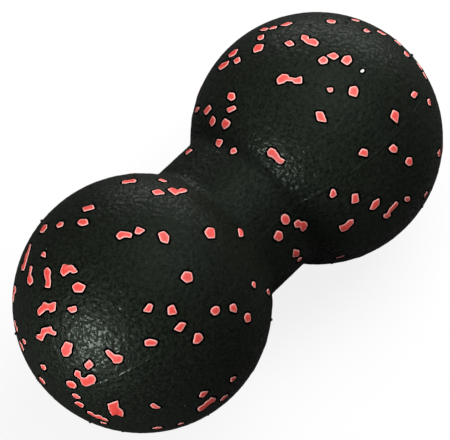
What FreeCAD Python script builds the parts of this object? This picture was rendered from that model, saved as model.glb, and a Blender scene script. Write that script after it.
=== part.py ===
"""Peanut massage ball: two foam balls and a short waist, moulded in one piece.

Millimetres. The origin is the middle of the waist, +X is the long axis through
both balls and +Z is up. Places on a ball are given by two angles: polar is
measured from the ball's own outer end, and turn goes round the long axis from
straight up (+Z) towards -Y. The lists of beads give each one's length and width as
shares of bead_size, and its lean in degrees anticlockwise from level.
"""
import FreeCAD
import Part

import math
import os
import random

Vector = FreeCAD.Vector

# Overall form; with no gap, the two balls just touch on the axis, inside the waist
ball_diameter = 80.0
ball_gap = 0.0
waist_diameter = 51.5
waist_blend = 6.0

# Coloured foam beads at the skin, which stand a little proud of it
bead_size = 3.1
bead_height = 0.15
bead_root = 0.9
bead_gap = 1.0
bead_unevenness = 0.25
bead_size_spread = 0.2
bead_draws = 240
twin_share = 0.3
twin_overlap = 0.15

# Witness of the mould's two halves, which runs right round through both ends
parting_turn = 44.0
parting_width = 0.5
parting_height = 0.2

ball_radius = ball_diameter / 2
ball_centre = (ball_diameter + ball_gap) / 2
waist_radius = waist_diameter / 2

# Two blends larger than this would meet before they reach the waist
largest_blend = (ball_centre ** 2 + waist_radius ** 2 - ball_radius ** 2) / (ball_diameter - waist_diameter)
blend_radius = min(waist_blend, 0.95 * largest_blend)

# Beads on the ball at +X: polar, turn, then length, width and lean as the listed side shows them
FAR_BEADS = [
    (75, -36, 1.4, 0.42, 12), (82, -45, 0.9, 0.42, 17), (80, -40, 0.9, 0.42, 17),
    (88, -40, 0.83, 0.5, 35), (94, -35, 1.25, 0.8, 35), (86, -22, 0.96, 0.7, 5),
    (79, -19, 1.1, 0.85, -25), (79, -14, 1.1, 0.85, -25), (99, -50, 1.17, 0.46, 40),
    (106, -51, 1.3, 0.54, 38), (103, -42, 1.04, 0.63, 28), (103, -11, 1.4, 0.83, 40),
    (99, -5, 1.17, 0.96, 10), (120, -32, 1.0, 0.92, 60), (125, -28, 0.92, 0.92, 0),
    (132, -29, 1.1, 0.9, 60), (126, -66, 0.75, 0.54, 65), (128, -50, 1.17, 0.75, 75),
    (133, -42, 1.2, 0.7, 75), (131, 8, 1.1, 0.9, 45), (131, 15, 1.2, 0.75, -20),
    (60, -22, 1.08, 0.46, -5), (45, -20, 1.0, 0.3, -10), (50, -6, 0.96, 0.45, -25),
    (40, -2, 1.4, 0.3, -25), (33, 9, 1.1, 0.3, -40), (38, 21, 0.9, 0.4, -50),
    (33, 36, 1.0, 0.3, -55), (36, 43, 0.9, 0.3, -60), (79, -2, 1.2, 0.75, -15),
    (84, -3, 1.0, 1.0, 0), (76, 4, 1.1, 1.1, 0), (93, 9, 0.8, 0.6, -35), (86, 17, 1.17, 0.96, 95),
    (105, 15, 1.5, 1.05, -50), (60, 39, 0.8, 0.8, 0), (52, 51, 0.83, 0.54, -80),
    (78, 38, 1.3, 0.96, 85), (54, 87, 1.0, 0.3, 90), (62, 78, 0.75, 0.46, 90),
    (84, 59, 1.05, 0.9, 90), (88, 48, 0.9, 0.9, 0), (101, 40, 1.0, 0.95, 90),
    (122, 48, 1.0, 0.9, 60), (115, 57, 1.2, 0.96, 65), (108, 66, 1.5, 0.85, 45),
    (104, 77, 0.9, 0.55, 20), (99, 74, 1.1, 0.6, 50), (92, 76, 0.7, 0.6, 30), (79, 88, 0.9, 0.3, 60),
    (125, 72, 1.15, 0.75, 5), (121, 70, 0.95, 0.75, 60), (126, 103, 1.0, 0.3, 22),
]

# Beads on the ball at -X, given the same way
NEAR_BEADS = [
    (113, -35, 1.0, 0.4, 8), (116, -33, 0.8, 0.4, 3), (90, -33, 1.25, 0.8, 12),
    (83, -28, 1.1, 0.8, 15), (78, -41, 0.95, 0.55, 35), (75, -53, 0.95, 0.55, 55),
    (66, -59, 0.8, 0.3, 70), (62, -59, 0.8, 0.3, 73), (57, -59, 0.9, 0.35, 75),
    (63, -40, 0.85, 0.6, 65), (55, -47, 1.1, 0.4, 82), (51, -45, 1.0, 0.65, 80),
    (56, -31, 1.25, 0.8, -80), (52, -28, 1.2, 0.75, 75), (61, -21, 1.15, 0.85, 60),
    (63, -17, 1.1, 0.8, -45), (58, -8, 1.25, 1.2, 0), (48, -69, 0.8, 0.45, -80),
    (45, -75, 0.9, 0.3, 80), (87, -8, 0.9, 0.85, 20), (89, -6, 1.0, 0.8, -25),
    (94, -3.5, 1.25, 0.8, 15), (99, 6, 1.25, 0.95, -62), (93.5, 25.5, 1.2, 1.2, 0),
    (118.5, 18.5, 1.3, 1.0, -50), (137, 31, 1.05, 0.75, -70), (127.5, -26, 0.95, 0.35, -18),
    (117, -15, 1.25, 0.7, -15), (124, -12.5, 1.1, 0.6, -25), (128.5, -11.5, 1.1, 0.5, 5),
    (40, -28, 1.35, 0.7, 60), (43, -24, 0.9, 0.85, 45), (44.5, -18, 1.3, 0.75, 75),
    (49, -5, 1.1, 0.95, -20), (34.5, -78, 0.7, 0.3, -80), (31, -76, 0.8, 0.3, -78),
    (24, -63, 0.7, 0.4, -60), (24, -80, 1.1, 0.3, -65), (28, -26, 0.95, 0.75, -20),
    (32, -21, 0.95, 0.7, 60), (34, -16, 0.9, 0.75, 20), (34, -12, 0.85, 0.65, -70),
    (33, 5, 1.15, 0.95, 60), (30, 6, 1.05, 0.9, -30), (34, 26.5, 1.05, 0.95, -60),
    (46, 29, 1.05, 0.6, -38), (47, 34, 1.2, 0.95, 25), (13, -26.5, 0.8, 0.5, -50),
    (26, 27.5, 1.0, 0.75, -55), (26.5, 38.5, 1.1, 0.9, -30), (30, 38, 1.1, 1.05, -50),
    (18, 35, 1.15, 0.75, -22), (16, 58, 0.9, 0.55, -22),
    (15.5, 79, 1.3, 0.5, -32), (20.5, 94, 1.0, 0.35, -32), (24, 96, 0.95, 0.45, -22),
    (27.5, 97.5, 0.7, 0.3, -20), (27, 109, 0.8, 0.25, -15), (33, 69, 1.3, 1.0, 25),
    (31.5, 78, 1.2, 0.9, -10), (34.5, 79, 1.2, 0.7, -35), (50.5, 75, 1.1, 0.65, -5),
    (51, 103, 1.2, 0.3, 5), (61, 102, 0.8, 0.25, 15), (72, 24, 1.25, 0.8, 50),
    (79, 32, 1.3, 1.0, 0), (94, 45, 1.05, 0.9, 45), (102, 51, 1.1, 0.85, -75),
    (106, 61, 1.1, 0.7, -87), (77, 39.5, 1.35, 0.9, 25), (80.5, 49, 1.25, 0.95, 80),
    (63, 37, 1.25, 0.9, 5), (72, 79, 1.05, 0.75, 48), (70, 90.5, 1.1, 0.55, 35),
    (73.5, 88.5, 0.8, 0.6, 35), (75.5, 88, 0.8, 0.6, 35), (82, 94, 1.0, 0.35, 38),
    (87.5, 83, 0.8, 0.55, 38), (129, 71, 0.85, 0.35, -68), (120, 54, 0.75, 0.4, -75),
]

# Beads on the waist: place along it as a share of its half length, turn, then as above
WAIST_BEADS = [
    (0.75, -29, 0.95, 0.85, 90), (0.73, -14, 0.8, 0.65, 70), (0.18, -50, 1.0, 0.4, 32),
    (0.4, 47, 1.2, 0.95, 100), (0.63, 56, 0.95, 0.85, 80), (0.77, 61, 1.1, 0.8, 50),
    (-0.06, 53, 1.1, 1.05, 60), (0.21, 76, 1.1, 0.85, 58), (0.32, 87, 0.7, 0.3, 38),
]

# The listed beads face this way, and the rest of the skin gets its beads by a draw
listed_side = Vector(-0.354, -0.327, 0.876).normalize()

# Listed beads on skin that turns further away than this keep a true width
least_facing = 0.35


def outward(turn):
    """Unit vector square to the long axis at a turn in degrees."""
    angle = math.radians(turn)
    return Vector(0, -math.sin(angle), math.cos(angle))


def blend_centre():
    """Station and height of the arc that blends the waist into the +X ball."""
    height = waist_radius + blend_radius
    reach = ball_radius + blend_radius
    return ball_centre - math.sqrt(reach ** 2 - height ** 2), height


def ball_edge():
    """Station at which the +X ball meets its blend."""
    station, _ = blend_centre()
    share = ball_radius / (ball_radius + blend_radius)
    return ball_centre + (station - ball_centre) * share


def arc_edge(station, height, radius, start, end):
    """Arc of the half profile about one centre, between two angles."""
    points = []
    for angle in (start, (start + end) / 2, end):
        points.append(Vector(station + radius * math.cos(angle), height + radius * math.sin(angle), 0))
    return Part.Arc(*points).toShape()


def half_outline(grow):
    """Edges of the outline above the long axis, moved outwards by grow."""
    station, height = blend_centre()
    meet = math.atan2(height, station - ball_centre)
    right_ball = arc_edge(ball_centre, 0, ball_radius + grow, 0, meet)
    right_blend = arc_edge(station, height, blend_radius - grow, meet - math.pi, -math.pi / 2)
    left_ball = arc_edge(-ball_centre, 0, ball_radius + grow, math.pi, math.pi - meet)
    left_blend = arc_edge(-station, height, blend_radius - grow, -meet, -math.pi / 2)
    top = waist_radius + grow
    waist = Part.makeLine(Vector(-station, top, 0), Vector(station, top, 0))
    return [right_ball, right_blend, waist, left_blend, left_ball]


def flat_face(edges):
    """Face inside a closed run of edges."""
    return Part.Face(Part.Wire(Part.__sortEdges__(edges)))


def turned_to_parting(shape):
    """The shape, drawn in the XY plane, turned about the long axis into the parting plane."""
    shape.rotate(Vector(0, 0, 0), Vector(1, 0, 0), 90 + parting_turn)
    return shape


def smooth_form():
    """The two balls and the waist with a plain skin, whose seam lies under the parting ridge."""
    end = ball_centre + ball_radius
    axis = Part.makeLine(Vector(-end, 0, 0), Vector(end, 0, 0))
    face = turned_to_parting(flat_face(half_outline(0) + [axis]))
    return face.revolve(Vector(0, 0, 0), Vector(1, 0, 0), 360)


def on_skin(station, turn):
    """Point on the smooth skin at a station and turn, and the skin's normal there."""
    across = abs(station)
    blend, height = blend_centre()
    if across >= ball_edge():
        lean = (across - ball_centre) / ball_radius
        rise = math.sqrt(max(1 - lean ** 2, 0))
        radius = ball_radius * rise
    elif across > blend:
        lean = (blend - across) / blend_radius
        rise = math.sqrt(1 - lean ** 2)
        radius = height - blend_radius * rise
    else:
        lean = 0
        rise = 1
        radius = waist_radius
    place = Vector(station, 0, 0) + outward(turn) * radius
    normal = Vector(math.copysign(lean, station * lean), 0, 0) + outward(turn) * rise
    return place, normal


def seen_spoke(normal, reach, lean):
    """Vector along the skin that shows this reach and lean from the listed side."""
    level = Vector(0, 0, 1).cross(listed_side).normalize()
    rise = listed_side.cross(level)
    shown = (level * math.cos(math.radians(lean)) + rise * math.sin(math.radians(lean))) * reach
    facing = max(listed_side.dot(normal), least_facing)
    spoke = shown - listed_side * (shown.dot(normal) / facing)
    return spoke - normal * spoke.dot(normal)


def listed_bead(station, turn, length, width, lean):
    """Place, normal and half axes of a bead that is placed by hand."""
    place, normal = on_skin(station, turn)
    along = seen_spoke(normal, length * bead_size / 2, lean)
    aside = seen_spoke(normal, width * bead_size / 2, lean + 90)
    return place, normal, along, aside


def listed_beads():
    """All beads that are placed by hand."""
    beads = []
    for end, rows in ((1, FAR_BEADS), (-1, NEAR_BEADS)):
        for polar, *shape in rows:
            station = end * (ball_centre + ball_radius * math.cos(math.radians(polar)))
            beads.append(listed_bead(station, *shape))
    for along, *shape in WAIST_BEADS:
        beads.append(listed_bead(along * ball_edge(), *shape))
    return beads


def round_bead(station, turn, size):
    """Place, normal and half axes of a bead that is as wide as it is long."""
    place, normal = on_skin(station, turn)
    side = normal.cross(Vector(1, 0, 0))
    if side.Length < 0.01:
        side = Vector(0, 1, 0)
    side = side.normalize() * (size / 2)
    return place, normal, side, normal.cross(side)


def drawn_beads(beads, draw):
    """Beads for the side that has no listed ones, spread evenly and often in pairs."""
    places = [(place, along.Length + aside.Length) for place, _, along, aside in beads]
    half_length = ball_centre + ball_radius
    added = []
    for _ in range(bead_draws):
        station = draw.uniform(-1, 1) * half_length
        turn = draw.uniform(0, 360)
        size = bead_size * draw.uniform(1 - bead_size_spread, 1 + bead_size_spread)
        place, normal = on_skin(station, turn)
        if normal.dot(listed_side) > 0:
            continue
        if any((place - other).Length < (size + width) / 2 + bead_gap for other, width in places):
            continue
        added.append(round_bead(station, turn, size))
        places.append((place, size))
        if draw.random() < twin_share:
            aside = normal.cross(Vector(draw.uniform(-1, 1), draw.uniform(-1, 1), draw.uniform(-1, 1)))
            twin = place + aside.normalize() * (size * (1 - twin_overlap))
            twin_turn = math.degrees(math.atan2(-twin.y, twin.z))
            twin_station = max(-half_length, min(half_length, twin.x))
            added.append(round_bead(twin_station, twin_turn, size))
            places.append((twin, size))
    return added


def bead_spokes(bead, draw):
    """Corners of the uneven polygon that a bead's neighbours pressed it into, from its middle."""
    _, _, along, aside = bead
    corners = draw.choice((4, 5))
    start = draw.uniform(0, math.tau)
    spokes = []
    for k in range(corners):
        angle = start + (k + draw.uniform(-bead_unevenness, bead_unevenness)) * math.tau / corners
        reach = 1 + draw.uniform(-0.5, 1) * bead_unevenness
        spokes.append((along * math.cos(angle) + aside * math.sin(angle)) * reach)
    return spokes


def clear_of_parting(bead, spokes):
    """Whether a bead stands clear of the parting ridge; one that it crosses lies flush."""
    across_parting = Vector(1, 0, 0).cross(outward(parting_turn))
    corners = [(bead[0] + spoke).dot(across_parting) for spoke in spokes]
    return min(corners) > parting_width or max(corners) < -parting_width


def bead_post(bead, spokes):
    """Prism from under the skin to a bead's height."""
    place, normal, _, _ = bead
    corners = [place + spoke - normal * bead_root for spoke in spokes]
    return Part.Face(Part.makePolygon(corners + corners[:1])).extrude(normal * (bead_root + bead_height))


def parting_ridge():
    """Fine ridge where the mould's halves met, as a thin plate through the long axis."""
    above = half_outline(parting_height)
    below = [edge.copy() for edge in above]
    for edge in below:
        edge.rotate(Vector(0, 0, 0), Vector(1, 0, 0), 180)
    plate = flat_face(above + below).extrude(Vector(0, 0, parting_width))
    plate.translate(Vector(0, 0, -parting_width / 2))
    return turned_to_parting(plate)


def peanut_ball():
    """The whole moulding as one solid."""
    draw = random.Random(11)
    beads = listed_beads()
    beads += drawn_beads(beads, draw)
    shaped = [(bead, bead_spokes(bead, draw)) for bead in beads]
    raised = [bead_post(bead, spokes) for bead, spokes in shaped if clear_of_parting(bead, spokes)]
    return smooth_form().multiFuse(raised + [parting_ridge()]).Solids[0]


os.makedirs("parts", exist_ok=True)
peanut_ball().exportStep("parts/peanut_ball.step")
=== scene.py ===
"""Look of the peanut massage ball: one moulding of black bead foam with red beads in it.

Metres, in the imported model's frame. The origin is the middle of the waist, +X is the
long axis through both balls and +Z is up. Polar is measured from a ball's own outer
end, and turn goes round the long axis from straight up (+Z) towards -Y.
"""

import math
import random

import bmesh
import bpy
import numpy as np
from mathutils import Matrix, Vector, kdtree, noise


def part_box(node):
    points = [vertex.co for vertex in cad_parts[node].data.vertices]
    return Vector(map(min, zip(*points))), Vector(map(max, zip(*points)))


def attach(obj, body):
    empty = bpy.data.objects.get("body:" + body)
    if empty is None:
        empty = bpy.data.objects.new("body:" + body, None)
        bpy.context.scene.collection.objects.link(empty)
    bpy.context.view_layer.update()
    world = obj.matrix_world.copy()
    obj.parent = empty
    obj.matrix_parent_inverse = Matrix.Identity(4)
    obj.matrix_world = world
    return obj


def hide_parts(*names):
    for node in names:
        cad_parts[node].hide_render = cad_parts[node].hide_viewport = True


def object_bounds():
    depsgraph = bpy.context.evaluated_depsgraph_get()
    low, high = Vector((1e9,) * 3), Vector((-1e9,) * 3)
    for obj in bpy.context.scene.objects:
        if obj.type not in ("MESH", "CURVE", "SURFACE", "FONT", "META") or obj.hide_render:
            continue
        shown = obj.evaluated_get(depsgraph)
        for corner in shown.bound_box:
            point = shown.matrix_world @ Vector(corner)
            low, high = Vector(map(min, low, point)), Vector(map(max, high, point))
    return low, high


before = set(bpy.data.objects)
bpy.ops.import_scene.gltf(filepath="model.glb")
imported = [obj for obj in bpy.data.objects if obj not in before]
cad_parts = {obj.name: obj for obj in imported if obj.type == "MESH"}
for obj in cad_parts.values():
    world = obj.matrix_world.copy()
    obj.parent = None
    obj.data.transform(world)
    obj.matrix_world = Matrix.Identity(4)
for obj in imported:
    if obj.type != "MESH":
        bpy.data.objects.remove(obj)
cad_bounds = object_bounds()
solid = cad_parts["peanut_ball"]

MM = 0.001
# Keeps a division from meeting zero
TINY = 1e-12

# Form, from the solid: its ends carry the parting ridge and its balls just touch
parting_height = 0.2 * MM
parting_turn = 44.0
waist_blend = 6.0 * MM
ball_radius = (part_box("peanut_ball")[1].x - parting_height) / 2
ball_centre = ball_radius
waist_radius = min(math.hypot(v.co.y, v.co.z) for v in solid.data.vertices if abs(v.co.x) < waist_blend)

# Centre of the arc that blends the waist into the +X ball, and the ball's polar angle at it
blend_height = waist_radius + waist_blend
blend_station = ball_centre - math.sqrt((ball_radius + waist_blend) ** 2 - blend_height ** 2)
blend_polar = math.atan2(blend_height, blend_station - ball_centre)

# Foam skin: its mesh, the foam's own beads as cells, slow ripples and the parting ridge
skin_edge = 0.72 * MM
# Distance between rows of points, as a share of the spacing along a row
row_share = 0.87
cell_seed = 7
cell_size = 2.7 * MM
cell_groove_depth = 0.06 * MM
cell_groove_width = 0.35 * MM
cell_step = 0.015 * MM
ripple_height = 0.02 * MM
ripple_size = 1.7 * MM
parting_half_width = 0.22 * MM

# Red beads at the skin. Outlines nearer than join_gap become one blob, which is smoothed
# corner_rounding times and moved out by bead_growth.
bead_seed = 4
bead_size = 3.1 * MM
bead_growth = 0.01 * MM
join_gap = 0.35 * MM
corner_rounding = 24
outline_step = 0.12 * MM
ring_step = 0.36 * MM
seat_depth = 0.22 * MM
seat_margin = 0.2 * MM

# Beads that lie flush in the solid, because the parting ridge crosses them or they sit beside an end.
# Each row: end, polar, turn, then length and width as shares of bead_size and lean in degrees
# anticlockwise from level, all three as the camera sees them.
FLUSH_BEADS = [
    (1, 36, 43, 0.9, 0.3, -60),
    (-1, 26.5, 38.5, 1.1, 0.9, -30),
    (-1, 30, 38, 1.1, 1.05, -50),
    (-1, 18, 35, 1.15, 0.75, -22),
    (-1, 94, 45, 1.05, 0.9, 45),
    (-1, 6, -94, 1.0, 0.35, -48),
]
# The same on the waist: station, turn, length, width, lean
WAIST_BEAD = (4.3 * MM, 47, 1.2, 0.95, 100)
# Necks that join two beads into one blob: pixel across and down in the photo, length, width, lean
BEAD_NECKS = [
    (290.0, 79.2, 0.9, 0.4, 5),
    (306.8, 41.2, 0.6, 0.45, -25),
    (275.3, 155.6, 0.95, 0.75, -45),
    (345.8, 225.3, 0.7, 0.4, 45),
    (390.6, 209.8, 0.9, 0.4, 55),
    (26.3, 258.5, 2.6, 0.3, 75),
    (13.9, 293.5, 1.2, 0.3, 80),
    (48.8, 306.5, 0.7, 0.6, 20),
    (48.2, 279.0, 0.8, 0.55, 90),
    (205.8, 405.3, 0.8, 0.4, 40),
    (102.0, 418.3, 0.7, 0.25, -25),
]
# One small white bead, given the same way
WHITE_BEAD = (362.4, 71, 0.55, 0.3, 30)
# An outline laid on tilted skin is stretched by no more than one over this cosine
least_facing = 0.35

# Nibs that the mould's vents leave on the skin
nib_radius = 0.45 * MM
nib_height = 0.4 * MM
nibs_per_ball = 58

# Camera, fitted to the photo's outline
image_width = 450
image_height = 440
sensor_width = 36.0
camera_distance = 0.990
camera_back = Vector((-0.3536, -0.3274, 0.8762)).normalized()
camera_right = Vector((0.6794, -0.7338, 0.0)).normalized()
camera_up = camera_back.cross(camera_right)
camera_lens = 253.6
camera_shift_x = -0.0127
camera_shift_y = -0.001

# Lamps: name, direction towards the camera's right, up and back, distance, width and height,
# power, and whether foam reflects the lamp itself. A key from the lower left, soft light from
# above, the front and the right, and a glow behind the top.
LAMPS = [
    ("key_light", (-0.65, -0.50, 0.57), 0.8, (0.28, 0.28), 6.4, True),
    ("top_light", (0.35, 0.8, 0.5), 0.3, (0.35, 0.35), 1.3, False),
    ("sheen_light", (0.25, 0.6, 0.75), 0.3, (0.28, 0.28), 0.2, True),
    ("front_light", (-0.2, 0.1, 1.0), 1.3, (0.8, 0.8), 1.6, False),
    ("side_light", (0.9, -0.2, 0.4), 1.2, (0.8, 0.8), 1.0, False),
    ("back_light", (0.2, 0.93, -0.35), 0.45, (0.5, 0.25), 0.55, True),
]

# Where nibs show on the photo's outline or on its skin, in its pixels
NIB_PIXELS = [
    (323.5, 14.8), (348.6, 18.7), (395.3, 40.4), (412.2, 54.8), (422, 206.6), (387.8, 240),
    (331.9, 262.8), (134.6, 176), (91, 186), (60.8, 204), (14.3, 334), (90.1, 422),
    (122.7, 430.9), (208, 414.4), (272.3, 319.7), (310.5, 25), (346, 22.5), (370, 88),
    (143, 261), (162, 267), (41.7, 220.8), (126.7, 197.1), (188.2, 259.6), (222.1, 271.7),
    (225, 299), (64, 327), (46.7, 248.3), (150.8, 389.2), (185.8, 405.8), (391.3, 203.3), (322, 259.8),
]


def outward(turn):
    """Unit vector square to the long axis at a turn in radians."""
    return Vector((0, -math.sin(turn), math.cos(turn)))


def half_profile(step):
    """Stations and radii of the +X half of the outline, from its end to the middle of the waist."""
    points = []
    ball_steps = math.ceil(ball_radius * blend_polar / step)
    for k in range(1, ball_steps + 1):
        polar = blend_polar * k / ball_steps
        points.append((ball_centre + ball_radius * math.cos(polar), ball_radius * math.sin(polar)))
    sweep = blend_polar - math.pi / 2
    blend_steps = max(2, math.ceil(waist_blend * sweep / step))
    for k in range(1, blend_steps + 1):
        angle = blend_polar - math.pi - sweep * k / blend_steps
        across = waist_blend * math.cos(angle)
        points.append((blend_station + across, blend_height + waist_blend * math.sin(angle)))
    waist_steps = math.ceil(blend_station / step)
    for k in range(1, waist_steps + 1):
        points.append((blend_station * (1 - k / waist_steps), waist_radius))
    return points


def whole_profile(step):
    """Stations and radii of the outline from the -X end to the +X end, without the two poles."""
    half = half_profile(step)
    return [(-x, r) for x, r in half] + [(x, r) for x, r in reversed(half[:-1])]


def on_skin(points):
    """Nearest point of the smooth skin to each given point near it, and the outward normal there."""
    points = np.asarray(points, float).reshape(-1, 3)
    side = np.where(points[:, 0] < 0, -1.0, 1.0)
    along = np.abs(points[:, 0])
    reach = np.maximum(np.hypot(points[:, 1], points[:, 2]), TINY)
    radial = points[:, 1:] / reach[:, None]
    from_ball = np.stack([along - ball_centre, reach], 1)
    to_blend = np.array([blend_station - ball_centre, blend_height])
    on_ball = from_ball[:, 0] * to_blend[1] - from_ball[:, 1] * to_blend[0] > 0
    on_waist = along <= blend_station
    ball_normal = from_ball / np.linalg.norm(from_ball, axis=1)[:, None]
    inward = np.stack([blend_station - along, blend_height - reach], 1)
    blend_normal = inward / np.maximum(np.linalg.norm(inward, axis=1), TINY)[:, None]
    ball_place = np.array([ball_centre, 0]) + ball_normal * ball_radius
    blend_place = np.array([blend_station, blend_height]) - blend_normal * waist_blend
    waist_place = np.stack([along, np.full_like(along, waist_radius)], 1)
    waist_normal = np.tile([0.0, 1.0], (len(points), 1))
    place = np.where(on_waist[:, None], waist_place, blend_place)
    normal = np.where(on_waist[:, None], waist_normal, blend_normal)
    place = np.where(on_ball[:, None], ball_place, place)
    normal = np.where(on_ball[:, None], ball_normal, normal)
    places = np.column_stack([place[:, 0] * side, radial * place[:, 1:]])
    normals = np.column_stack([normal[:, 0] * side, radial * normal[:, 1:]])
    return places, normals


def ball_place(end, polar, turn):
    """Point on the ball at one end, from angles in degrees."""
    polar = math.radians(polar)
    along = Vector((end * (ball_centre + ball_radius * math.cos(polar)), 0, 0))
    return along + outward(math.radians(turn)) * (ball_radius * math.sin(polar))


def skin_under_pixel(across, down):
    """Point where the sight line of a photo pixel meets the skin, or passes nearest to it."""
    half_range = 0.1
    steps = 2001
    right = ((across / image_width - 0.5) + camera_shift_x) * sensor_width
    up = ((image_height / 2 - down) / image_width + camera_shift_y) * sensor_width
    sight = (camera_right * right + camera_up * up - camera_back * camera_lens).normalized()
    eye = camera_back * camera_distance
    depths = np.linspace(camera_distance - half_range, camera_distance + half_range, steps)
    line = np.array(eye) + depths[:, None] * np.array(sight)
    places, normals = on_skin(line)
    height = np.einsum("ij,ij->i", line - places, normals)
    inside = np.flatnonzero(height < 0)
    nearest = inside[0] if len(inside) else int(np.argmin(height))
    return Vector(places[nearest])


def side_axes(normal):
    """Two unit vectors square to a normal and to each other."""
    shortest = 0.01
    first = normal.cross(Vector((1, 0, 0)))
    if first.length < shortest:
        first = Vector((0, 1, 0))
    first.normalize()
    return first, normal.cross(first)


def islands(mesh):
    """Groups of faces that share edges, as lists."""
    seen = set()
    groups = []
    for face in mesh.faces:
        if face in seen:
            continue
        seen.add(face)
        group = [face]
        for member in group:
            for edge in member.edges:
                for other in edge.link_faces:
                    if other not in seen:
                        seen.add(other)
                        group.append(other)
        groups.append(group)
    return groups


def border_loop(group):
    """Corner points of a group of faces, in order round its border."""
    follows = {}
    members = set(group)
    for face in group:
        for loop in face.loops:
            if not any(other is not face and other in members for other in loop.edge.link_faces):
                follows[loop.vert] = loop.link_loop_next.vert
    start = next(iter(follows))
    points = [start]
    while follows.get(points[-1]) not in (None, start) and len(points) <= len(follows):
        points.append(follows[points[-1]])
    return [v.co.copy() for v in points]


def solid_beads():
    """Outline of every bead that stands proud of the solid's skin."""
    smallest_area = 0.3 * MM ** 2
    highest = 0.5 * MM
    # Least area as a share of the border's length squared, and least cosines
    least_compact = 0.02
    one_plane = 0.9999
    upright = 0.97
    mesh = bmesh.new()
    mesh.from_mesh(solid.data)
    outlines = []
    for group in islands(mesh):
        area = sum(face.calc_area() for face in group)
        normal = group[0].normal
        if area < smallest_area or any(face.normal.dot(normal) < one_plane for face in group):
            continue
        centre = sum((face.calc_center_median() * face.calc_area() for face in group), Vector()) / area
        places, normals = on_skin(tuple(centre))
        height = (centre - Vector(places[0])).dot(normal)
        if not (0 < height < highest and normal.dot(Vector(normals[0])) > upright):
            continue
        border = border_loop(group)
        around = sum((a - b).length for a, b in zip(border, border[1:] + border[:1]))
        if area / around ** 2 > least_compact:
            outlines.append(border)
    mesh.free()
    return outlines


def seen_outline(centre, length, width, lean, draw):
    """Uneven outline for a bead that has none in the solid, from its size and lean in the photo."""
    corners = 7
    unevenness = 0.2
    _, normals = on_skin(tuple(centre))
    normal = Vector(normals[0])
    facing = max(normal.dot(camera_back), least_facing)
    lean = math.radians(lean)
    points = []
    for k in range(corners):
        angle = (k + draw.uniform(-unevenness, unevenness)) * math.tau / corners
        along = math.cos(angle) * length * bead_size / 2
        aside = math.sin(angle) * width * bead_size / 2
        right = along * math.cos(lean) - aside * math.sin(lean)
        up = along * math.sin(lean) + aside * math.cos(lean)
        shown = camera_right * right + camera_up * up
        points.append(centre + shown - camera_back * (shown.dot(normal) / facing))
    return points


def evenly(loop, step):
    """A closed flat loop with points at an even spacing."""
    fewest = 10
    closed = np.vstack([loop, loop[:1]])
    run = np.concatenate([[0], np.cumsum(np.linalg.norm(np.diff(closed, axis=0), axis=1))])
    count = max(fewest, round(run[-1] / step))
    at = np.arange(count) * run[-1] / count
    return np.column_stack([np.interp(at, run, closed[:, k]) for k in (0, 1)])


def softened(loop):
    """A closed flat loop with its corners rounded off."""
    for _ in range(corner_rounding):
        loop = (np.roll(loop, 1, 0) + 2 * loop + np.roll(loop, -1, 0)) / 4
    return loop


def moved_out(loop, distance):
    """An anticlockwise flat loop moved outward by a distance."""
    ahead = np.roll(loop, -1, 0) - np.roll(loop, 1, 0)
    away = np.column_stack([ahead[:, 1], -ahead[:, 0]])
    return loop + away / np.linalg.norm(away, axis=1)[:, None] * distance


def nearest_apart(first, second):
    """Smallest distance between the points of two sets."""
    return np.linalg.norm(first[:, None] - second[None], axis=2).min()


def grouped(outlines):
    """Numbers of the outlines in each group that touches or nearly touches."""
    side_parts = 4
    far = 3 * bead_size
    spaced = []
    for points in outlines:
        sides = zip(points, points[1:] + points[:1])
        spaced.append(np.array([a.lerp(b, k / side_parts) for a, b in sides for k in range(side_parts)]))
    groups = []
    for number, points in enumerate(spaced):
        joined = []
        apart = []
        for group in groups:
            meets = any(
                np.linalg.norm(spaced[other][0] - points[0]) < far
                and nearest_apart(spaced[other], points) < join_gap
                for other in group
            )
            (joined if meets else apart).append(group)
        groups = apart + [[number] + [other for group in joined for other in group]]
    return groups


def inside_distance(points, loop):
    """How far flat points lie inside a flat loop; negative for those outside it."""
    side = np.roll(loop, -1, 0) - loop
    away = points[:, None] - loop[None]
    share = np.clip((away * side).sum(2) / (side ** 2).sum(1), 0, 1)
    nearest = np.linalg.norm(away - share[..., None] * side, axis=2).min(1)
    rise = np.where(side[:, 1] == 0, TINY, side[:, 1])
    below = away[..., 1] < 0
    crossed = (below != (away[..., 1] < side[:, 1])) & (away[..., 1] * side[:, 0] / rise > away[..., 0])
    return np.where(crossed.sum(1) % 2 == 1, nearest, -nearest)


def contour(places, values):
    """Longest anticlockwise loop round the grid points whose value is over 0."""
    over = values > 0
    mixed = over[1:, 1:].astype(int) + over[:-1, 1:] + over[1:, :-1] + over[:-1, :-1]
    follows = {}
    for i, j in np.argwhere((mixed > 0) & (mixed < 4)):
        corners = [(i, j), (i + 1, j), (i + 1, j + 1), (i, j + 1)]
        sides = list(zip(corners, corners[1:] + corners[:1]))
        leaving = [(a, b) for a, b in sides if over[a] and not over[b]]
        entering = [(b, a) for a, b in sides if over[b] and not over[a]]
        follows.update(zip(leaving, entering))
    longest = []
    while follows:
        loop = []
        crossing = next(iter(follows))
        while crossing in follows:
            loop.append(crossing)
            crossing = follows.pop(crossing)
        if len(loop) > len(longest):
            longest = loop
    spots = []
    for a, b in longest:
        share = values[a] / (values[a] - values[b])
        spots.append(places[a] * (1 - share) + places[b] * share)
    return np.array(spots)


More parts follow.
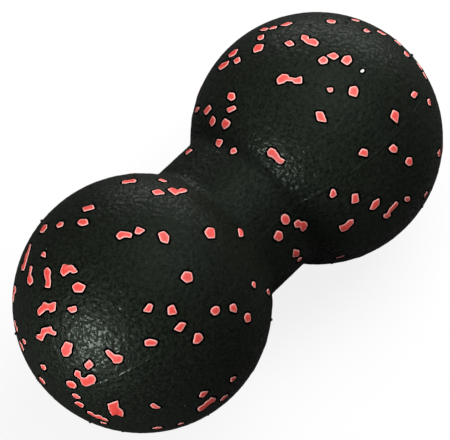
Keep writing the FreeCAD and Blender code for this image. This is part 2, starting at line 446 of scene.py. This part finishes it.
def outer_loop(flats, closing):
    """Anticlockwise loop round several flat loops, at a distance that closes the gaps between them."""
    step = outline_step / MM
    corners = np.vstack(flats)
    margin = closing + 2 * step
    lines = [np.arange(corners[:, k].min() - margin, corners[:, k].max() + margin, step) for k in (0, 1)]
    places = np.stack(np.meshgrid(*lines, indexing="ij"), -1)
    values = np.max([inside_distance(places.reshape(-1, 2), flat) for flat in flats], axis=0)
    return contour(places, values.reshape(places.shape[:2]) + closing)


def spine_points(flats):
    """Points along the middle lines of some flat loops and between their middles."""
    steps_along = 9
    steps_between = 13
    points = []
    middles = [flat.mean(0) for flat in flats]
    for flat, middle in zip(flats, middles):
        _, axes = np.linalg.eigh(np.cov((flat - middle).T))
        across = np.abs((flat - middle) @ axes).max(0)
        reach = max(across[1] - across[0], 0)
        points.extend(middle + axes[:, 1] * share for share in np.linspace(-reach, reach, steps_along))
        others = [other for other in middles if other is not middle]
        if others:
            nearest = min(others, key=lambda other: np.linalg.norm(other - middle))
            shares = np.linspace(0, 1, steps_between)
            points.extend(middle + (nearest - middle) * share for share in shares)
    return np.array(points)


class Bead:
    """One red blob: its outline and the spokes to its middle line on the skin, and how white it is."""

    def __init__(self, members, white):
        self.centre = sum((Vector(p) for member in members for p in member), Vector())
        self.centre /= sum(len(member) for member in members)
        _, normals = on_skin(tuple(self.centre))
        self.axes = np.array(side_axes(Vector(normals[0])))
        flats = [self.flat(member) for member in members]
        closing = join_gap / 2 / MM
        loop = softened(evenly(outer_loop(flats, closing), outline_step / MM))
        self.loop = evenly(moved_out(loop, bead_growth / MM - closing), ring_step / MM)
        spine = spine_points(flats)
        nearest = np.linalg.norm(self.loop[:, None] - spine[None], axis=2).argmin(1)
        self.outline = np.array(self.centre) + self.loop * MM @ self.axes
        self.spokes = (spine[nearest] - self.loop) * MM @ self.axes
        self.white = white

    def flat(self, points):
        """Points on the bead's own plane, in millimetres from its centre."""
        return (np.array(points) - np.array(self.centre)) @ self.axes.T / MM


def all_beads():
    """Every blob of red beads at the skin, and the one white bead."""
    draw = random.Random(bead_seed)
    outlines = solid_beads()
    for end, polar, turn, *shape in FLUSH_BEADS:
        outlines.append(seen_outline(ball_place(end, polar, turn), *shape, draw))
    station, turn, *shape = WAIST_BEAD
    centre = Vector((station, 0, 0)) + outward(math.radians(turn)) * waist_radius
    outlines.append(seen_outline(centre, *shape, draw))
    for across, down, *shape in BEAD_NECKS:
        outlines.append(seen_outline(skin_under_pixel(across, down), *shape, draw))
    beads = [Bead([outlines[k] for k in group], 0.0) for group in grouped(outlines)]
    across, down, *shape = WHITE_BEAD
    beads.append(Bead([seen_outline(skin_under_pixel(across, down), *shape, draw)], 1.0))
    return beads


def mesh_object(name, places, faces, attributes, material):
    """A smooth-shaded piece made from arrays, with its float attributes on the points."""
    mesh = bpy.data.meshes.new(name)
    mesh.from_pydata([tuple(p) for p in places], [], faces)
    for label, values in attributes.items():
        layer = mesh.attributes.new(label, "FLOAT", "POINT")
        layer.data.foreach_set("value", np.asarray(values, np.float32))
    mesh.polygons.foreach_set("use_smooth", [True] * len(mesh.polygons))
    mesh.materials.append(material)
    piece = bpy.data.objects.new(name, mesh)
    bpy.context.scene.collection.objects.link(piece)
    return piece


def ring_turns(radius, start):
    """Turns of a ring's points: evenly spread, and closer together across the parting ridge."""
    fewest = 6
    # Points across the ridge, in half widths of it
    ridge_points = (-2.2, -1.1, -0.5, 0, 0.5, 1.1, 2.2)
    count = max(fewest, round(math.tau * radius / skin_edge))
    turns = [(start + k) * math.tau / count for k in range(count)]
    if radius < 3 * skin_edge:
        return [turn % math.tau for turn in turns]
    fine = []
    for centre in (math.radians(parting_turn), math.radians(parting_turn) + math.pi):
        turns = [t for t in turns if abs((t - centre + math.pi) % math.tau - math.pi) * radius > skin_edge]
        fine.extend(centre + share * parting_half_width / radius for share in ridge_points)
    return sorted(turn % math.tau for turn in turns + fine)


def stitched(first, first_base, second, second_base):
    """Triangles between two rings, given their sorted turns and the index of their first points."""
    faces = []
    i = 0
    j = 0
    while i < len(first) or j < len(second):
        next_first = first[i + 1] if i + 1 < len(first) else math.tau + first[0]
        next_second = second[j + 1] if j + 1 < len(second) else math.tau + second[0]
        a = first_base + i % len(first)
        b = second_base + j % len(second)
        if j == len(second) or (i < len(first) and next_first <= next_second):
            faces.append((a, first_base + (i + 1) % len(first), b))
            i += 1
        else:
            faces.append((a, second_base + (j + 1) % len(second), b))
            j += 1
    return faces


def smooth_skin():
    """Points and triangles of the smooth skin."""
    places = [(-ball_centre - ball_radius, 0, 0)]
    faces = []
    rings = []
    golden_share = 0.618034
    for k, (station, radius) in enumerate(whole_profile(skin_edge * row_share)):
        turns = ring_turns(radius, k * golden_share % 1)
        rings.append((turns, len(places)))
        places.extend((station, -math.sin(t) * radius, math.cos(t) * radius) for t in turns)
    for (turns, base), (later, later_base) in zip(rings, rings[1:]):
        faces.extend(stitched(turns, base, later, later_base))
    turns, base = rings[0]
    faces.extend((0, base + (k + 1) % len(turns), base + k) for k in range(len(turns)))
    turns, base = rings[-1]
    pole = len(places)
    places.append((ball_centre + ball_radius, 0, 0))
    faces.extend((pole, base + k, base + (k + 1) % len(turns)) for k in range(len(turns)))
    return np.array(places), faces


def foam_cells(draw):
    """Middles of the foam beads that tile the skin."""
    fewest = 3
    scatter = 0.25
    middles = []
    for station, radius in whole_profile(cell_size * row_share):
        count = max(fewest, round(math.tau * radius / cell_size))
        start = draw.random()
        for k in range(count):
            turn = (start + k + draw.uniform(-scatter, scatter)) * math.tau / count
            shift = draw.uniform(-scatter, scatter) * cell_size
            middles.append(Vector((station + shift, 0, 0)) + outward(turn) * radius)
    return middles


def search_tree(points):
    """Tree that finds the nearest of some points."""
    tree = kdtree.KDTree(len(points))
    for index, point in enumerate(points):
        tree.insert(point, index)
    tree.balance()
    return tree


def cell_relief(places):
    """Height of the foam's cells and ripples at each place, and how deep it lies in a groove."""
    draw = random.Random(cell_seed)
    cells = foam_cells(draw)
    tree = search_tree(cells)
    steps = [draw.uniform(-1, 1) * cell_step for _ in cells]
    heights = np.zeros(len(places))
    grooves = np.zeros(len(places))
    for index, place in enumerate(places):
        (_, nearest, near), (_, _, far) = tree.find_n(place, 2)
        grooves[index] = math.exp(-(((far - near) / 2 / cell_groove_width) ** 2))
        ripple = noise.noise(Vector(place) / ripple_size)
        heights[index] = steps[nearest] - grooves[index] * cell_groove_depth + ripple * ripple_height
    return heights, grooves


def ridge_relief(places):
    """Height of the parting ridge at each place; it grows and fades along its run."""
    fade_size = 6 * MM
    middle_fade = 0.6
    fade_change = 0.5
    across_parting = np.array(Vector((1, 0, 0)).cross(outward(math.radians(parting_turn))))
    from_parting = places @ across_parting / parting_half_width
    heights = np.zeros(len(places))
    for index in np.flatnonzero(np.abs(from_parting) < 3):
        fade = middle_fade + fade_change * noise.noise(Vector(places[index]) / fade_size)
        heights[index] = parting_height * fade * math.exp(-from_parting[index] ** 2)
    return heights


def in_seats(places, beads):
    """Whether each place lies in the seat of a red bead."""
    tree = search_tree(places)
    seated = np.zeros(len(places), bool)
    for bead in beads:
        reach = np.linalg.norm(bead.loop, axis=1).max() * MM + 2 * seat_margin
        near = np.array([index for _, index, _ in tree.find_range(bead.centre, reach)])
        inside = inside_distance(bead.flat(places[near]), bead.loop) * MM
        seated[near[inside > -seat_margin]] = True
    return seated


def foam_body(beads, material):
    """The black skin: foam cells, ripples, the parting ridge and a seat under each red bead."""
    places, faces = smooth_skin()
    _, normals = on_skin(places)
    heights, grooves = cell_relief(places)
    heights += ridge_relief(places)
    heights[in_seats(places, beads)] = -seat_depth
    places = places + normals * heights[:, None]
    return mesh_object("foam_body", places, faces, {"groove": grooves}, material)


def red_beads(beads, material):
    """A domed cap in its seat for each bead, with the foam's slope round it, painted dark as shade."""
    # Distance inside the outline, height over the skin, and the furthest share of the way to the middle
    rings = [
        (-0.75 * MM, -0.16 * MM, 0.1), (-0.6 * MM, 0.05 * MM, 0.2), (-0.06 * MM, -0.02 * MM, 0.3),
        (0.0, 0.0, 0.4), (0.08 * MM, 0.07 * MM, 0.5), (0.25 * MM, 0.12 * MM, 0.6),
        (0.5 * MM, 0.15 * MM, 0.7), (0.9 * MM, 0.17 * MM, 0.8),
    ]
    levels, rises, shares = zip(*rings)
    places = []
    faces = []
    depths = []
    whites = []
    for bead in beads:
        reach = np.linalg.norm(bead.spokes, axis=1)
        count = len(reach)
        base = len(places)
        for level, furthest in zip(levels, shares):
            inside = np.minimum(level, furthest * reach)
            ring = bead.outline + bead.spokes * (inside / reach)[:, None]
            flat, normals = on_skin(ring)
            places.extend(flat + normals * np.interp(inside, levels, rises)[:, None])
            depths.extend(inside / MM)
            whites.extend([bead.white] * count)
        for ring in range(len(levels) - 1):
            for k in range(count):
                a = base + ring * count + k
                b = base + ring * count + (k + 1) % count
                faces.append((a, b, b + count, a + count))
        last = base + (len(levels) - 1) * count
        faces.append(tuple(range(last, last + count)))
        faces.append(tuple(reversed(range(base, base + count))))
    attributes = {"inside": depths, "white": whites}
    return mesh_object("red_beads", np.array(places), faces, attributes, material)


def nib_places():
    """Places of the vent nibs: those the photo shows, and an even spread on the far side."""
    places = [skin_under_pixel(across, down) for across, down in NIB_PIXELS]
    golden_turn = math.pi * (3 - math.sqrt(5))
    # The even spread stops at this share of a ball's inner depth, and keeps to skin that faces away
    depth_share = 0.9
    facing_away = -0.1
    for end in (-1, 1):
        for k in range(nibs_per_ball):
            rise = 1 - 2 * (k + 0.5) / nibs_per_ball
            if rise < math.cos(blend_polar) * depth_share:
                continue
            polar = math.degrees(math.acos(rise))
            place = ball_place(end, polar, math.degrees(k * golden_turn))
            _, normals = on_skin(tuple(place))
            if Vector(normals[0]).dot(camera_back) < facing_away:
                places.append(place)
    return places


def vent_nibs(material):
    """Short tapered stubs of foam."""
    sides = 10
    # Radius as a share of nib_radius, height over the skin
    profile = [(1.3, -0.2 * MM), (1.0, 0.1 * MM), (0.8, nib_height * 0.85), (0.45, nib_height)]
    places = []
    faces = []
    for centre in nib_places():
        spot, normals = on_skin(tuple(centre))
        spot = Vector(spot[0])
        normal = Vector(normals[0])
        first, second = side_axes(normal)
        base = len(places)
        for share, height in profile:
            for k in range(sides):
                angle = k * math.tau / sides
                spoke = (first * math.cos(angle) + second * math.sin(angle)) * nib_radius * share
                places.append(tuple(spot + spoke + normal * height))
        for level in range(len(profile) - 1):
            for k in range(sides):
                a = base + level * sides + k
                b = base + level * sides + (k + 1) % sides
                faces.append((a, b, b + sides, a + sides))
        top = base + (len(profile) - 1) * sides
        faces.append(tuple(top + k for k in range(sides)))
        faces.append(tuple(base + k for k in reversed(range(sides))))
    return mesh_object("vent_nibs", np.array(places), faces, {"groove": np.zeros(len(places))}, material)


def add_node(tree, kind, **inputs):
    """A shader node with its input values set by socket name."""
    node = tree.nodes.new(kind)
    for name, value in inputs.items():
        node.inputs[name.replace("_", " ")].default_value = value
    return node


def remapped(tree, source, **limits):
    """A value moved from one range to another; a limit that isn't given is 0 or 1."""
    node = add_node(tree, "ShaderNodeMapRange", **limits)
    tree.links.new(source, node.inputs["Value"])
    return node.outputs[0]


def calculated(tree, operation, first, second):
    """Result of an operation on a linked value and a second one, linked or a plain number."""
    node = tree.nodes.new("ShaderNodeMath")
    node.operation = operation
    tree.links.new(first, node.inputs[0])
    if isinstance(second, float):
        node.inputs[1].default_value = second
    else:
        tree.links.new(second, node.inputs[1])
    return node.outputs[0]


def attribute(tree, name):
    """The value that the mesh's points carry under a name."""
    node = tree.nodes.new("ShaderNodeAttribute")
    node.attribute_name = name
    return node.outputs["Fac"]


def noise_value(tree, coordinates, size, detail, roughness):
    """Soft noise with features of a size in metres."""
    node = add_node(tree, "ShaderNodeTexNoise", Scale=1 / size, Detail=detail, Roughness=roughness)
    tree.links.new(coordinates, node.inputs["Vector"])
    return node.outputs[0]


def colour_ramp(tree, source, stops):
    """Colour read from a value along some stops."""
    node = tree.nodes.new("ShaderNodeValToRGB")
    elements = node.color_ramp.elements
    while len(elements) < len(stops):
        elements.new(1.0)
    for element, (position, colour) in zip(elements, stops):
        element.position = position
        element.color = (*colour, 1)
    tree.links.new(source, node.inputs["Fac"])
    return node.outputs["Color"]


def colour_mix(tree, share, colour, other):
    """A linked colour mixed with a share of a plain one."""
    node = tree.nodes.new("ShaderNodeMix")
    node.data_type = "RGBA"
    tree.links.new(share, node.inputs["Factor"])
    tree.links.new(colour, node.inputs["A"])
    node.inputs["B"].default_value = (*other, 1)
    return node.outputs["Result"]


def shader_mix(tree, share, surface, other):
    """A surface mixed with a share of another."""
    node = tree.nodes.new("ShaderNodeMixShader")
    tree.links.new(share, node.inputs[0])
    tree.links.new(surface, node.inputs[1])
    tree.links.new(other, node.inputs[2])
    return node.outputs[0]


def pinholes(tree, coordinates):
    """Sparse small pits between the beads: 0 in a pit and 1 outside it."""
    spacing = 5.5 * MM
    radius = 0.4 * MM
    flat_share = 0.3
    texture = add_node(tree, "ShaderNodeTexVoronoi", Scale=1 / spacing)
    tree.links.new(coordinates, texture.inputs["Vector"])
    rim = radius / spacing
    return remapped(tree, texture.outputs["Distance"], From_Min=flat_share * rim, From_Max=rim)


def bumped(tree, height, distance, before=None):
    """Normal with a height of some metres laid over the normal before it."""
    node = add_node(tree, "ShaderNodeBump", Strength=1.0, Distance=distance)
    tree.links.new(height, node.inputs["Height"])
    if before is not None:
        tree.links.new(before, node.inputs["Normal"])
    return node.outputs["Normal"]


def pebbles(tree, coordinates, size):
    """Height of small rounded pebbles."""
    node = add_node(tree, "ShaderNodeTexVoronoi", Scale=1 / size)
    node.feature = "SMOOTH_F1"
    tree.links.new(coordinates, node.inputs["Vector"])
    return node.outputs["Distance"]


def new_material(name):
    """A material, its node tree and its shader."""
    material = bpy.data.materials.new(name)
    material.use_nodes = True
    return material, material.node_tree, material.node_tree.nodes["Principled BSDF"]


def foam_material():
    """Black bead foam: pebbled grain, uneven gloss, pits, and darker lines between the beads."""
    blotch_size = 1.6 * MM
    facet_size = 0.9 * MM
    pebble_size = 1.3 * MM
    pebble_height = 0.28 * MM
    crumb_size = 0.7 * MM
    crumb_height = 0.12 * MM
    pit_depth = 0.25 * MM
    groove_share = 0.55
    material, tree, shader = new_material("black_foam_skin")
    shader.inputs["Specular IOR Level"].default_value = 0.25
    shader.inputs["Specular Tint"].default_value = (0.82, 1.0, 0.86, 1)
    coordinates = tree.nodes.new("ShaderNodeTexCoord").outputs["Object"]

    blotch = noise_value(tree, coordinates, blotch_size, detail=3.0, roughness=0.6)
    tones = [(0.3, (0.0042, 0.0056, 0.0036)), (0.72, (0.0098, 0.0124, 0.0084))]
    groove_tone = (0.004, 0.0045, 0.0035)
    in_groove = remapped(tree, attribute(tree, "groove"), To_Max=groove_share)
    colour = colour_mix(tree, in_groove, colour_ramp(tree, blotch, tones), groove_tone)
    tree.links.new(colour, shader.inputs["Base Color"])

    facets = noise_value(tree, coordinates, facet_size, detail=1.0, roughness=0.5)
    gloss = remapped(tree, facets, From_Min=0.42, From_Max=0.56, To_Min=0.7, To_Max=0.27)
    tree.links.new(gloss, shader.inputs["Roughness"])

    grain = bumped(tree, pebbles(tree, coordinates, pebble_size), pebble_height)
    crumbs = noise_value(tree, coordinates, crumb_size, detail=2.0, roughness=0.55)
    grain = bumped(tree, crumbs, crumb_height, grain)
    grain = bumped(tree, pinholes(tree, coordinates), pit_depth, grain)
    tree.links.new(grain, shader.inputs["Normal"])
    return material


def bead_material():
    """Red bead foam: red middle, pale salmon rim, and painted shade as a dark line round it."""
    # Distances inside the outline, in millimetres: the blurred edge of the gloss, the ramp's ends
    # and where the bead's colour starts
    edge = 0.05
    ramp_start = -0.5
    ramp_end = 1.0
    colour_start = -0.02
    crumb_size = 0.8 * MM
    crumb_height = 0.06 * MM
    material, tree, shader = new_material("red_bead_skin")
    shader.inputs["Specular IOR Level"].default_value = 0.35
    coordinates = tree.nodes.new("ShaderNodeTexCoord").outputs["Object"]

    # Painted shade: the dark line outside the outline has no gloss
    inside = attribute(tree, "inside")
    gloss = remapped(tree, inside, From_Min=-edge, From_Max=edge, To_Min=1.0, To_Max=0.42)
    tree.links.new(gloss, shader.inputs["Roughness"])
    shine = remapped(tree, inside, From_Min=-edge, From_Max=edge)
    tree.links.new(shine, shader.inputs["Specular Tint"])

    # The first two stops paint the slope outside the outline black, as painted shade in the groove round
    # the bead
    tones = [
        (0.0, (0.0, 0.0, 0.0)),
        (0.325, (0.0, 0.0, 0.0)),
        (0.37, (0.95, 0.56, 0.52)),
        (0.46, (0.92, 0.38, 0.35)),
        (0.62, (0.82, 0.15, 0.13)),
        (0.92, (0.76, 0.066, 0.056)),
    ]
    white_tone = (0.85, 0.84, 0.82)
    red = colour_ramp(tree, remapped(tree, inside, From_Min=ramp_start, From_Max=ramp_end), tones)
    on_bead = calculated(tree, "GREATER_THAN", inside, colour_start)
    on_white_bead = calculated(tree, "MULTIPLY", on_bead, attribute(tree, "white"))
    colour = colour_mix(tree, on_white_bead, red, white_tone)
    tree.links.new(colour, shader.inputs["Base Color"])

    crumbs = noise_value(tree, coordinates, crumb_size, detail=2.0, roughness=0.55)
    tree.links.new(bumped(tree, crumbs, crumb_height), shader.inputs["Normal"])
    return material


def floor_material():
    """White floor that keeps a soft shadow, sheds little light and can be seen through from below."""
    tone_seen = 0.85
    tone_unseen = 0.06
    glow_share = 0.85
    material = bpy.data.materials.new("white_floor")
    material.use_nodes = True
    tree = material.node_tree
    tree.nodes.clear()
    seen = tree.nodes.new("ShaderNodeLightPath").outputs["Is Camera Ray"]
    matt = tree.nodes.new("ShaderNodeBsdfDiffuse")
    tone = remapped(tree, seen, To_Min=tone_unseen, To_Max=tone_seen)
    tree.links.new(tone, matt.inputs["Color"])
    glow = add_node(tree, "ShaderNodeEmission", Color=(1, 1, 1, 1), Strength=1.0)
    glow_seen = calculated(tree, "MULTIPLY", seen, glow_share)
    top = shader_mix(tree, glow_seen, matt.outputs[0], glow.outputs[0])
    from_below = tree.nodes.new("ShaderNodeNewGeometry").outputs["Backfacing"]
    clear = tree.nodes.new("ShaderNodeBsdfTransparent")
    surface = shader_mix(tree, from_below, top, clear.outputs[0])
    out = tree.nodes.new("ShaderNodeOutputMaterial")
    tree.links.new(surface, out.inputs["Surface"])
    return material


def floor(lowest):
    """Large plane under the ball."""
    half = 3.0
    corners = [(-half, -half, lowest), (half, -half, lowest), (half, half, lowest), (-half, half, lowest)]
    piece = mesh_object("floor", np.array(corners), [(0, 1, 2, 3)], {}, floor_material())


def softbox(name, direction, distance, size, power, glints):
    """Area lamp that faces the middle of the ball, with or without a reflection of its own."""
    lamp = bpy.data.lights.new(name, "AREA")
    lamp.shape = "RECTANGLE"
    lamp.size, lamp.size_y = size
    lamp.energy = power
    holder = bpy.data.objects.new(name, lamp)
    right, up, back = direction
    towards = (camera_right * right + camera_up * up + camera_back * back).normalized()
    holder.location = towards * distance
    holder.rotation_euler = towards.to_track_quat("Z", "Y").to_euler()
    holder.visible_glossy = glints
    bpy.context.scene.collection.objects.link(holder)


def room():
    """World that gives a little even light and shows white to the camera."""
    even_light = 0.05
    world = bpy.data.worlds.new("room")
    world.use_nodes = True
    tree = world.node_tree
    background = tree.nodes["Background"]
    background.inputs["Color"].default_value = (1, 1, 1, 1)
    seen = tree.nodes.new("ShaderNodeLightPath").outputs["Is Camera Ray"]
    tree.links.new(calculated(tree, "MAXIMUM", seen, even_light), background.inputs["Strength"])
    bpy.context.scene.world = world


def camera():
    """Camera at the photo's place."""
    data = bpy.data.cameras.new("camera")
    data.lens = camera_lens
    data.sensor_width = sensor_width
    data.shift_x = camera_shift_x
    data.shift_y = camera_shift_y
    holder = bpy.data.objects.new("camera", data)
    holder.location = camera_back * camera_distance
    holder.rotation_euler = camera_back.to_track_quat("Z", "Y").to_euler()
    bpy.context.scene.collection.objects.link(holder)
    bpy.context.scene.camera = holder


camera()
for lamp_row in LAMPS:
    softbox(*lamp_row)
room()
bpy.context.scene.view_settings.view_transform = "Standard"

foam = foam_material()
scattered = all_beads()
body = foam_body(scattered, foam)
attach(body, "root")
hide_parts("peanut_ball")

beads = red_beads(scattered, bead_material())
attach(beads, "root")

nibs = vent_nibs(foam)
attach(nibs, "root")

floor(cad_bounds[0][2])
